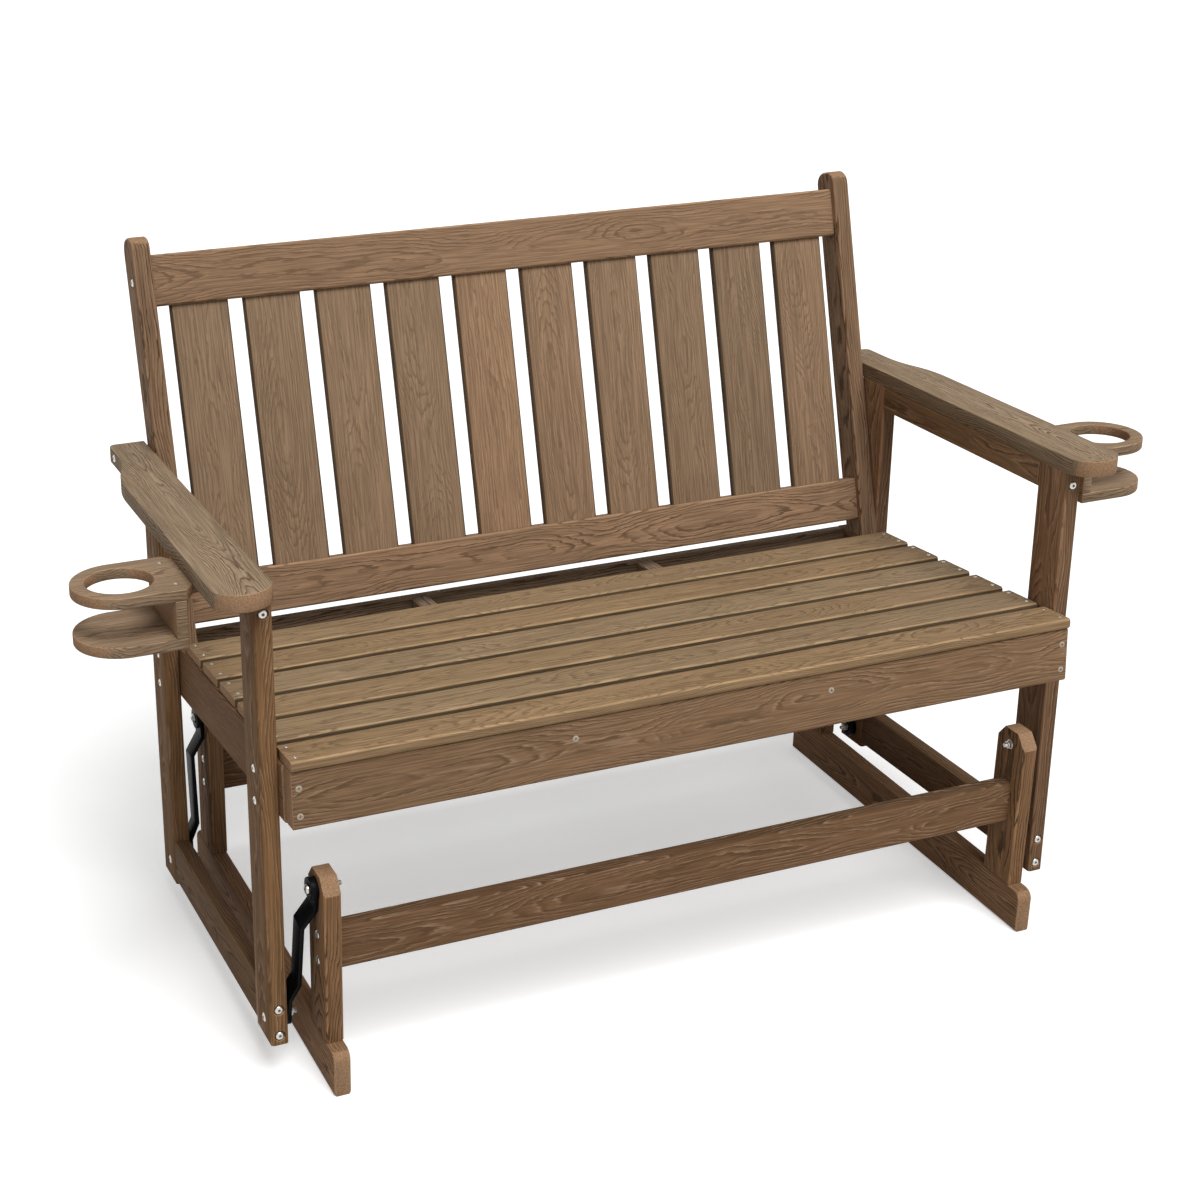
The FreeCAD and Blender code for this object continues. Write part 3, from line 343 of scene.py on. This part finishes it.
def lumber(name, centre, along, across, face, heart=0.02, ring=0.0031, lines=1.15, crests=0.0,
           sides=0.9, sides_from=0.8, arris=1.22):
    """The finish of one board: its grain runs along it and its log's heart lies under its middle.

    The crests beside its dark lines can be made paler, partly the grain's own paler line and partly a
    painted highlight on the raised grain.
    Its narrow sides can be painted darker or lighter than its face, from where the edge has turned so
    far: painted shade or painted light.
    Its eased arrises can be painted lighter, a painted highlight on the edges.
    """
    seed_step = 3.7
    sawn_span = (0.4, 0.55)
    arris_span = (0.3, 0.6, 0.8, 0.95)
    side_step = 0.15
    board_shine = 0.02
    finish, tree, shader = new_finish(f"{name}_lumber")
    place = tree.nodes.new("ShaderNodeTexCoord").outputs
    through = along.cross(across)
    turn = Matrix((along, across, through))
    board = joined(tree, "ShaderNodeMapping", {"Vector": place["Object"], "Rotation": turn.to_euler(),
                                               "Location": -(turn @ centre)})
    sawn = eased(tree, squareness(tree, place["Normal"], along), *sawn_span)
    side_on = squareness(tree, place["Normal"], across)
    face_on = squareness(tree, place["Normal"], through)
    # A painted highlight along the eased arrises, where the surface has turned part way from the face.
    worn_arris = between(tree, face_on, *arris_span)
    # Painted shade on the narrow sides, or painted light where the number is above one.
    painted_side_shading = eased(tree, side_on, sides_from, sides_from + side_step, 1.0, sides)
    tone = sums(tree, "MULTIPLY_ADD", worn_arris, arris - 1, painted_side_shading)
    look = tree.nodes.new("ShaderNodeGroup")
    look.node_tree = grain
    feed(tree, look, {"Board": board.outputs[0], "Seed": seed_step * next(board_numbers),
                      "Heart": heart, "Ring": ring, "Lines": lines, "Crests": crests,
                      "Sawn": sawn, "Tone": tone, "Face": face, "Groove": srgb(groove_brown),
                      "Crest": srgb(crest_highlight_tan), "Cut": srgb(cut_brown)})
    feed(tree, shader, {"Base Color": look.outputs["Color"], "Roughness": look.outputs["Roughness"],
                        "Normal": look.outputs["Normal"], "Specular IOR Level": board_shine})
    return finish


def whole_faces(node):
    """A node's shape with its loose triangles merged into whole faces."""
    same_corner = 0.000005
    flat = math.radians(0.5)
    shape = bmesh.new()
    shape.from_mesh(frame["nodes"][node].data)
    bmesh.ops.remove_doubles(shape, verts=shape.verts, dist=same_corner)
    bmesh.ops.dissolve_limit(shape, angle_limit=flat, verts=shape.verts, edges=shape.edges)
    return shape


def dress(node, finish, edge):
    """A piece with its edges rounded over, which stands for the plain one of the frame."""
    sharp_edge = math.radians(28)
    shape = whole_faces(node)
    for face in shape.faces:
        face.smooth = True
        face.material_index = 0
    piece = placed(f"{node}_piece", shape)
    piece.data.materials.append(finish)
    rounding = piece.modifiers.new("rounded_edges", "BEVEL")
    rounding.width = edge
    rounding.segments = 2
    rounding.limit_method = "ANGLE"
    rounding.angle_limit = sharp_edge
    rounding.harden_normals = True
    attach(piece, frame["nodes"][node]["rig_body"])
    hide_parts(node)


def middle(node):
    """The middle of a node's box."""
    low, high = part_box(node)
    return (low + high) / 2


def dress_board(node, along, across, face, edge=0.0009, **grain_look):
    """One board of the bench with its finish."""
    dress(node, lumber(node, middle(node), along, across, face, **grain_look), edge)


def leaned(degrees):
    """The backward and upward directions of a frame whose top leans back."""
    angle = math.radians(degrees)
    return Vector((0, math.cos(angle), -math.sin(angle))), Vector((0, math.sin(angle), math.cos(angle)))


foot_brown = "8B694D"
floor_back, floor_up = leaned(0)
for side in ("left", "right"):
    dress_board(f"foot_{side}", floor_back, floor_up, srgb(foot_brown),
                heart=0.03, lines=0.9, crests=0.5)

# The base's posts and stretchers: chamfered posts that stand on the feet and two
# cross boards bolted between them, through the posts into the boards' ends.

upright_brown = "8B694B"
stretcher_brown = "7A5C43"
across_bench = Vector((1, 0, 0))
# The stretchers' narrow sides, their tops among them, are painted darker as painted shade, and their
# arrises get no painted highlight.
for place in ("front", "rear"):
    for side in ("left", "right"):
        dress_board(f"upright_{place}_{side}", floor_up, floor_back, srgb(upright_brown), heart=0.035)
    dress_board(f"stretcher_{place}", across_bench, floor_up, srgb(stretcher_brown), ring=0.0027,
                lines=0.7, crests=0.75, sides=0.6, sides_from=0.5, arris=1.0)

# The side frames of the carriage: front and rear legs of the same lumber, with a low rail and an arm rail
# between them, all leaned back with the carriage. The two sides are painted with different light and
# shade: the left legs are painted darker as painted shade, with painted light on their edges, and the
# right ones lighter as painted light, with painted shade on their edges. The low rails are painted darker
# toward the groove brown as painted shade, the left much more than the right.


def mixed(first, second, share):
    """A colour part of the way from one to another."""
    return [one + (other - one) * share for one, other in zip(srgb(first), srgb(second))]


dark_brown = "84674C"
carriage_lean = 1.5
carriage_back, carriage_up = leaned(carriage_lean)
# Each side's leg colour and leg edges carry painted light and shade, and its low rail painted shade.
shading_by_side = {"left": ("795A3D", 1.18, 0.55), "right": ("8E6D52", 0.68, 0.2)}
for side, (leg_shaded_brown, leg_edge_shading, rail_painted_shade) in shading_by_side.items():
    for place in ("front", "rear"):
        dress_board(f"leg_{place}_{side}", carriage_up, carriage_back, srgb(leg_shaded_brown), heart=0.03,
                    lines=0.75, crests=0.6, sides=leg_edge_shading)
    dress_board(f"bottom_rail_{side}", carriage_back, carriage_up,
                mixed(dark_brown, groove_brown, rail_painted_shade), heart=0.03)
    dress_board(f"arm_rail_{side}", carriage_back, carriage_up, srgb(dark_brown), heart=0.03,
                lines=0.8, crests=0.6)

# The seat frame: an apron and a rear rail across the bench, side rails inside the
# legs and two braces, all on edge under the slats.

face_brown = "8A6E56"
grey_brown = "87715B"
seat_fall = 3.57
seat_back, seat_up = leaned(carriage_lean + seat_fall)
dress_board("apron", across_bench, seat_up, mixed(face_brown, dark_brown, 0.7),
            ring=0.0027, lines=0.7, crests=0.6)
dress_board("rear_seat_rail", across_bench, seat_up, srgb(grey_brown))
for side in ("left", "right"):
    dress_board(f"seat_rail_{side}", seat_back, seat_up, srgb(stretcher_brown))
    dress_board(f"brace_{side}", seat_back, seat_up, srgb(grey_brown))

# The seat: six slats across the bench, screwed down on the frame. Their faces are a little more olive
# than the rest and their grain is fine and straight. Their long edges are painted darker as painted
# shade: much in the gaps, only a little on the first slat, which is open in front. Their top arrises
# carry a stronger painted highlight.

seat_tan = "94795A"
seat_olive = "907B60"
# Painted shade on the slats' long edges: little on the open front slat, much in the gaps.
open_edge_shading = 0.95
painted_gap_shade = 0.4
slat_shares = (0.1, 0.7, 0.4, 0.9, 0.3, 0.6)
for number, share in enumerate(slat_shares, 1):
    dress_board(f"seat_slat_{number}", across_bench, seat_back, mixed(seat_tan, seat_olive, share),
                edge=0.0015, heart=0.05, ring=0.0021, lines=0.6,
                sides=open_edge_shading if number == 1 else painted_gap_shade, arris=1.38)

# The back: two reclined posts with rounded tops, two rails between them, and ten
# upright slats whose ends sit in the rails. Each slat is a shade of its own.

warm_brown = "9C7D62"
back_recline = 15
back_back, back_up = leaned(carriage_lean + back_recline)
for side in ("left", "right"):
    dress_board(f"stile_{side}", back_up, back_back, mixed(face_brown, warm_brown, 0.1), heart=0.03)
dress_board("back_top_rail", across_bench, back_up, mixed(face_brown, warm_brown, 0.4),
            ring=0.0026, lines=0.6)
dress_board("back_bottom_rail", across_bench, back_up, mixed(face_brown, warm_brown, 0.25),
            ring=0.0026, lines=0.9)
slat_warmths = (0.2, 0.25, 0.35, 0.3, 0.9, 0.6, 0.45, 0.3, 0.15, 0.5)
# Their narrow sides are painted much darker, as painted shade, and their arrises get no painted
# highlight.
for number, share in enumerate(slat_warmths, 1):
    dress_board(f"back_slat_{number}", back_up, across_bench, mixed(grey_brown, warm_brown, share),
                heart=0.05, ring=0.002, lines=0.45, sides=0.42, sides_from=0.35, arris=1.0)

# The armrests: flat boards of the same lumber, cut to a rounded front and a
# narrow rear. Each lies on its arm rail and is bolted to the back's post.

olive_brown = "907C65"
for side in ("left", "right"):
    dress_board(f"armrest_{side}", carriage_back, across_bench, srgb(olive_brown), edge=0.0014,
                heart=0.025, ring=0.0023, lines=0.9, crests=0.35)

# The cup holders: a ring and a tray cut from thinner flat board, with a block
# between them. The ring runs in under the armrest and is screwed to the block.

cup_brown = mixed(olive_brown, warm_brown, 0.3)
for side in ("left", "right"):
    for part in ("ring", "block", "tray"):
        dress_board(f"cup_{part}_{side}", across_bench, carriage_back, cup_brown,
                    edge=0.0014, heart=0.03, ring=0.0023, lines=0.8)

# The links: flat steel bars with two joggles and round bearing hubs, coated
# black with a fine satin texture. Each hangs a leg of the carriage from a post of
# the base.


def mottled(tree, fineness):
    """Noise over a piece, from nought to one, with so many changes to the metre."""
    place = tree.nodes.new("ShaderNodeTexCoord").outputs["Object"]
    noise = joined(tree, "ShaderNodeTexNoise", {"Vector": place, "Scale": fineness, "Detail": 2.0})
    return noise.outputs["Fac"]


def coated_steel(shade, highlight):
    """Black powder coat: nearly even, slightly pebbled, with a dull gloss."""
    pebble_fineness = 1400.0
    patch_fineness = 40.0
    pebble_roughness = 0.25
    coat_roughness = 0.3
    coat_shine = 0.06
    relief_depth = 0.0002
    relief_strength = 0.3
    finish, tree, shader = new_finish("black_coat")
    pebble = mottled(tree, pebble_fineness)
    patch = mottled(tree, patch_fineness)
    relief = joined(tree, "ShaderNodeBump", {"Strength": relief_strength, "Distance": relief_depth,
                                             "Height": pebble})
    feed(tree, shader, {"Base Color": tinted(tree, patch, srgb(shade), srgb(highlight)),
                        "Roughness": sums(tree, "MULTIPLY_ADD", pebble, pebble_roughness, coat_roughness),
                        "Specular IOR Level": coat_shine, "Normal": relief.outputs[0]})
    return finish


black_coat = "070708"
rubbed_coat = "101012"
link_coat = coated_steel(black_coat, rubbed_coat)
link_edge = 0.0007
for place in ("front", "rear"):
    for side in ("left", "right"):
        dress(f"link_{place}_{side}", link_coat, link_edge)

# The bolts of the frames: stainless button heads with a hexagonal socket, let
# into round recesses in the boards, their shanks running through one board into
# the next.


def bright_steel(shade, highlight):
    """Stainless steel with fine turning marks."""
    mark_fineness = 2600.0
    mark_roughness = 0.15
    steel_roughness = 0.24
    finish, tree, shader = new_finish("stainless")
    mark = mottled(tree, mark_fineness)
    feed(tree, shader, {"Base Color": tinted(tree, mark, srgb(shade), srgb(highlight)),
                        "Roughness": sums(tree, "MULTIPLY_ADD", mark, mark_roughness, steel_roughness),
                        "Metallic": 1.0})
    return finish


def dull_steel(name, shade, highlight, fineness, roughness):
    """Steel made dull by a coating, or darkened as painted shade, mottled between two shades."""
    finish, tree, shader = new_finish(name)
    colour = tinted(tree, mottled(tree, fineness), srgb(shade), srgb(highlight))
    feed(tree, shader, {"Base Color": colour, "Roughness": roughness})
    return finish


steel_grey = "A8A5A0"
steel_white = "DBD8D2"
# The darker steel inside sockets and cross recesses is painted shade.
socket_shade_grey = "7D7972"
socket_shade_pale = "AFAAA2"
stainless = bright_steel(steel_grey, steel_white)
socket_shade_finish = dull_steel("painted_socket_shade", socket_shade_grey, socket_shade_pale, fineness=900.0, roughness=0.6)
same_radius = 0.00001


def turned(profile):
    """A shape turned about Z from pairs of radius and height that start and end on the axis."""
    round_steps = 24
    same_point = 0.000001
    shape = bmesh.new()
    points = [shape.verts.new((radius, 0, height)) for radius, height in profile]
    edges = [shape.edges.new(pair) for pair in zip(points, points[1:])]
    bmesh.ops.spin(shape, geom=points + edges, cent=(0, 0, 0), axis=(0, 0, 1), angle=2 * math.pi,
                   steps=round_steps, use_merge=True)
    bmesh.ops.remove_doubles(shape, verts=shape.verts, dist=same_point)
    bmesh.ops.recalc_face_normals(shape, faces=shape.faces)
    return shape


def reshape_ring(shape, ring_radius, new_radius):
    """Draw the points of one round to another outline, given as a radius at each angle."""
    for point in shape.verts:
        if abs(point.co.xy.length - ring_radius) < same_radius:
            angle = math.atan2(point.co.y, point.co.x)
            point.co.xy = point.co.xy * new_radius(angle) / ring_radius


def paint_socket_shade(shape, socket_radius):
    """Give the faces within a socket's rim the second of the piece's finishes, a darker steel that is
    painted shade in the socket.
    """
    for face in shape.faces:
        within = all(point.co.xy.length < socket_radius + same_radius for point in face.verts)
        if within and face.calc_center_median().z > 0:
            face.material_index = 1


def hexagon(across_flats):
    """The outline of a hexagon, as a radius at each angle."""
    def radius(angle):
        return across_flats / 2 / math.cos((angle + math.pi / 6) % (math.pi / 3) - math.pi / 6)
    return radius


def button_head(radius, height, shank_radius, reach):
    """A bolt with a domed head and a hexagonal socket, its seat at zero and its head upwards."""
    socket_radius = radius * 0.36
    socket_flats = socket_radius * 1.8
    socket_floor = height * 0.4
    drill_point = 0.0005
    rim = radius * 0.56
    wall = height * 0.3
    dome_steps = 4
    socket = [(0, socket_floor - drill_point), (socket_radius, socket_floor), (socket_radius, height)]
    dome = []
    for step in range(dome_steps + 1):
        angle = math.radians(90 * step / dome_steps)
        dome.append((rim + (radius - rim) * math.sin(angle), wall + (height - wall) * math.cos(angle)))
    shank = [(shank_radius, 0), (shank_radius, -reach), (0, -reach)]
    shape = turned(socket + dome + [(radius, 0)] + shank)
    paint_socket_shade(shape, socket_radius)
    reshape_ring(shape, socket_radius, hexagon(socket_flats))
    return shape


def bolt_places(node):
    """Each bolt's seat, outward direction, reach, radius and height, found by its many-sided head."""
    smallest_head = 0.00006
    longest = 0.12
    bolt_sides = 12
    above_head = 0.0001
    slack = 0.01
    shape = whole_faces(node)
    places = []
    for face in shape.faces:
        if len(face.verts) != bolt_sides or face.calc_area() < smallest_head:
            continue
        top, direction = face.calc_center_median(), face.normal.copy()
        radius = (face.verts[0].co - top).length
        depths = []
        for point in shape.verts:
            depth = (top - point.co).dot(direction)
            aside = (point.co - top + direction * depth).length
            if aside < radius * (1 + slack) and -above_head < depth < longest:
                depths.append((round(depth, 5), aside))
        height = max(depth for depth, aside in depths if aside > radius * (1 - slack))
        reach = max(depth for depth, aside in depths) - height
        places.append((top - direction * height, direction, reach, radius, height))
    shape.free()
    return places


def set_out(name, parts, finish, body):
    """One piece made of small shapes, each moved to its seat and turned along its direction."""
    sharp_edge = math.radians(35)
    whole = bmesh.new()
    for shape, seat, direction in parts:
        turn = direction.to_track_quat("Z", "Y").to_matrix().to_4x4()
        bmesh.ops.transform(shape, matrix=Matrix.Translation(seat) @ turn, verts=shape.verts)
        moved = bpy.data.meshes.new("part")
        shape.to_mesh(moved)
        shape.free()
        whole.from_mesh(moved)
        bpy.data.meshes.remove(moved)
    for face in whole.faces:
        face.smooth = True
    piece = placed(name, whole)
    piece.data.set_sharp_from_angle(angle=sharp_edge)
    piece.data.materials.append(finish)
    piece.data.materials.append(socket_shade_finish)
    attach(piece, body)
    return piece


def replace_bolts(node, parts):
    """Detailed bolts that stand for a node's plain ones."""
    piece = set_out(f"{node}_piece", parts, stainless, frame["nodes"][node]["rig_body"])
    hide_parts(node)


bolt_shank = 0.003
for node in ("base_bolts", "frame_bolts"):
    replace_bolts(node, [(button_head(radius, height, bolt_shank, reach), seat, direction)
                         for seat, direction, reach, radius, height in bolt_places(node)])

# The pivots: the same button-headed bolts through link and board, each held by a
# washer and a hexagonal nut with the thread's end standing out of it. The links
# turn on black nylon bushes.

nut_across = 0.010
nut_height = 0.0042
nut_bevel = 0.0004
nut_face_share = 0.93
washer_radius = 0.0064
washer_height = 0.0008
thread_out = 0.005
thread_pitch = 0.001
thread_depth = 0.00035
pivot_shank = bolt_shank * 0.98


def nut_and_thread(reach):
    """The washer, nut and thread's end of a pivot bolt, at the far end of its shank."""
    root = bolt_shank - thread_depth
    nut_radius = nut_across / 2
    face = -reach + thread_out
    seat = face + nut_height
    profile = [(0, -reach), (root, -reach)]
    height = -reach
    while height < face - thread_pitch:
        profile.append((bolt_shank, height + thread_pitch / 2))
        height += thread_pitch
        profile.append((root, height))
    profile += [(root, face), (bolt_shank + nut_bevel, face), (nut_radius * nut_face_share, face),
                (nut_radius, face + nut_bevel), (nut_radius, seat), (washer_radius, seat),
                (washer_radius, seat + washer_height), (0, seat + washer_height)]
    shape = turned(profile)
    reshape_ring(shape, nut_radius, hexagon(nut_across))
    return shape


for node in ("upper_pivot_bolts", "lower_pivot_bolts"):
    parts = []
    for seat, direction, reach, radius, height in bolt_places(node):
        parts.append((button_head(radius, height, pivot_shank, reach - thread_out), seat, direction))
        parts.append((nut_and_thread(reach), seat, direction))
    replace_bolts(node, parts)
for node in ("upper_bushes", "lower_bushes"):
    frame["nodes"][node].data.materials.clear()
    frame["nodes"][node].data.materials.append(link_coat)

# The screws: small pan heads with a cross recess, two at each end of every seat
# slat, two in each end of the apron and one into each brace, and two through each
# cup ring. Those of the apron are coated a dull tan, near the boards' own brown.


def cross_outline(wing):
    """The outline of a cross recess, as a radius at each angle."""
    valley = wing * 0.42
    half_wing = math.radians(16)

    def radius(angle):
        off_wing = abs((angle + math.pi / 4) % (math.pi / 2) - math.pi / 4)
        return wing if off_wing < half_wing else valley
    return radius


def cross_screw(radius, stands):
    """A screw's head, standing a little proud of the board, and its shank."""
    recess = radius * 0.62
    recess_floor = recess * 0.55
    depth = radius * 0.5
    crown = radius * 0.86
    crown_height = stands * 0.92
    brim_height = stands * 0.35
    shank = radius * 0.45
    under_head = -0.0002
    shank_end = -0.018
    tip = -0.02
    shape = turned([(0, stands - depth), (recess_floor, stands - depth), (recess, stands),
                    (crown, crown_height), (radius, brim_height), (radius, 0),
                    (shank, under_head), (shank, shank_end), (0, tip)])
    paint_socket_shade(shape, recess)
    reshape_ring(shape, recess, cross_outline(recess))
    reshape_ring(shape, recess_floor, cross_outline(recess_floor))
    return shape


end_screw_out = 0.529
small_screw = 0.0026
slat_screw_stands = 0.0006
slat_screw_inset = 0.012
slat_thickness = 0.014
small_screws = []
for number in range(1, len(slat_shares) + 1):
    slat = f"seat_slat_{number}"
    low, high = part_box(slat)
    half_width = ((high - low).y + slat_thickness * seat_back.z) / 2 / seat_back.y
    for across in (-end_screw_out, end_screw_out):
        for back in (slat_screw_inset - half_width, half_width - slat_screw_inset):
            seat = middle(slat) + across_bench * across + seat_back * back + seat_up * slat_thickness / 2
            small_screws.append((cross_screw(small_screw, slat_screw_stands), seat, seat_up))

ring_screw_out = 0.628
ring_screw_backs = (-0.0355, 0.0355)
ring_screw_stands = 0.0005
ring_thickness = 0.014
ring_middle = middle("cup_ring_right")
for side in (-1, 1):
    for back in ring_screw_backs:
        seat = Vector((ring_screw_out * side, ring_middle.y, ring_middle.z))
        seat += carriage_back * back + carriage_up * ring_thickness / 2
        small_screws.append((cross_screw(small_screw, ring_screw_stands), seat, carriage_up))

apron_screw = 0.0041
apron_screw_stands = 0.0007
apron_thickness = 0.025
brace_screw_out = 0.178
apron_spots = ((end_screw_out, 0.0147), (end_screw_out, -0.0203), (brace_screw_out, 0.0117))
apron_front = middle("apron") - seat_back * apron_thickness / 2
apron_screws = []
for across, up in apron_spots:
    for side in (-1, 1):
        seat = apron_front + across_bench * across * side + seat_up * up
        apron_screws.append((cross_screw(apron_screw, apron_screw_stands), seat, -seat_back))

tan_coat = "8A7966"
rubbed_tan = "C9BCAA"
tan_steel = dull_steel("tan_steel", tan_coat, rubbed_tan, fineness=700.0, roughness=0.45)
set_out("apron_screws", apron_screws, tan_steel, "carriage")
set_out("small_screws", small_screws, stainless, "carriage")
